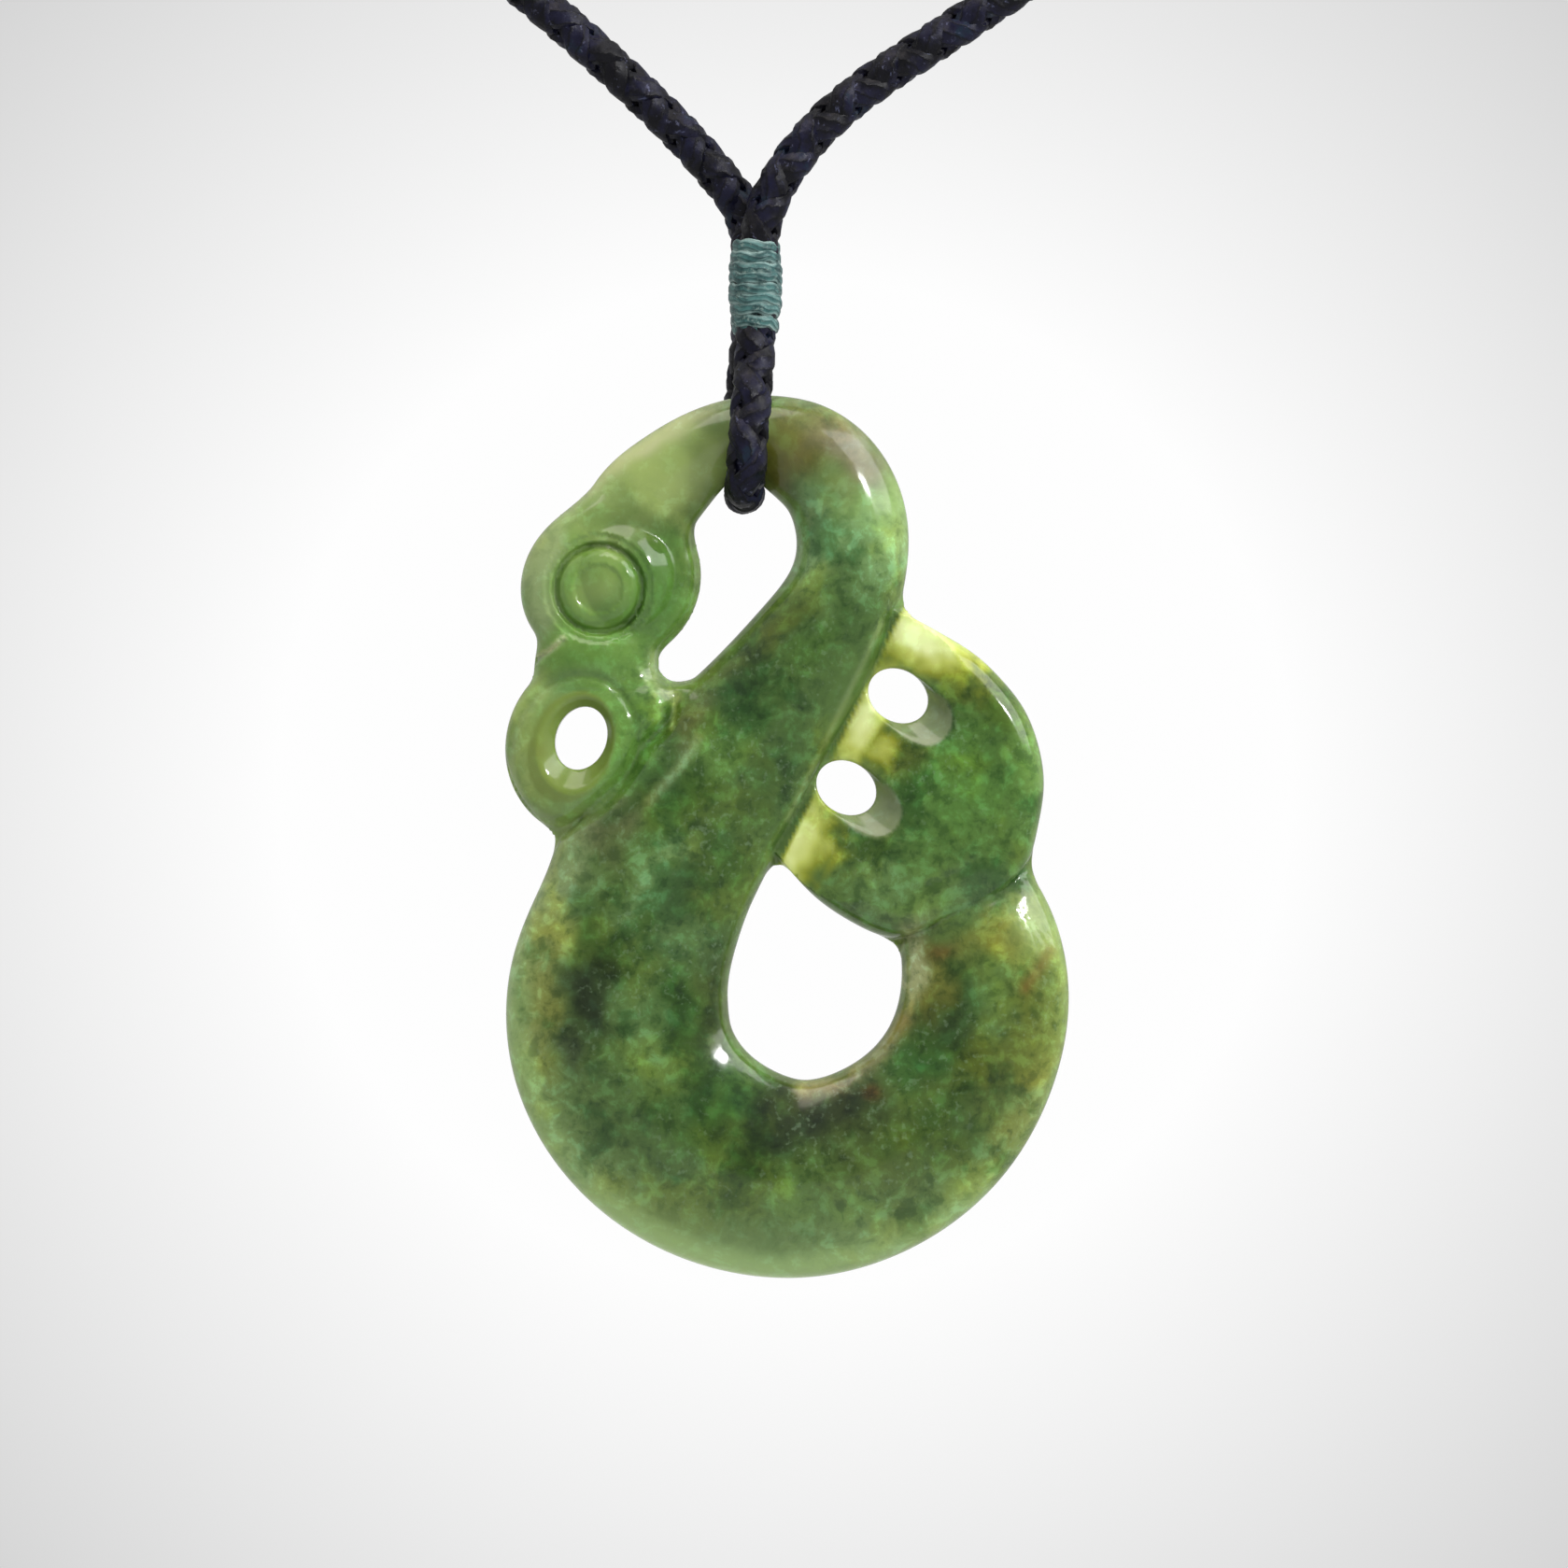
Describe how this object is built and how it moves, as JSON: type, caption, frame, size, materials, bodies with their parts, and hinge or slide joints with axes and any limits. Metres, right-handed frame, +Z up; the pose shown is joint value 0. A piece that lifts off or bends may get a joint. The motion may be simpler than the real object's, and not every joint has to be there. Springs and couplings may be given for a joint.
{
  "type": "manaia pendant necklace",
  "caption": "Flat carved jade manaia with a ringed eye, curled limb and pierced fin, hung by its arch from a plaited neck cord bound with thread.",
  "frame": {"origin": "underside of the back tie at the top of the neck loop, where the necklace rests on a neck or a peg", "axes": "+Z up the hanging loop, +X to the right seen from the front, the carved front faces -Y"},
  "size_m": [0.1482, 0.0104, 0.1983],
  "materials": {
    "jade": "polished translucent nephrite, mottled green",
    "cord": "waxed dark navy plait",
    "thread": "waxed teal grey thread"
  },
  "bodies": {
    "root": {"jade_manaia": "jade", "cord": "cord", "whipping": "thread", "back_tie": "thread"}
  },
  "joints": []
}
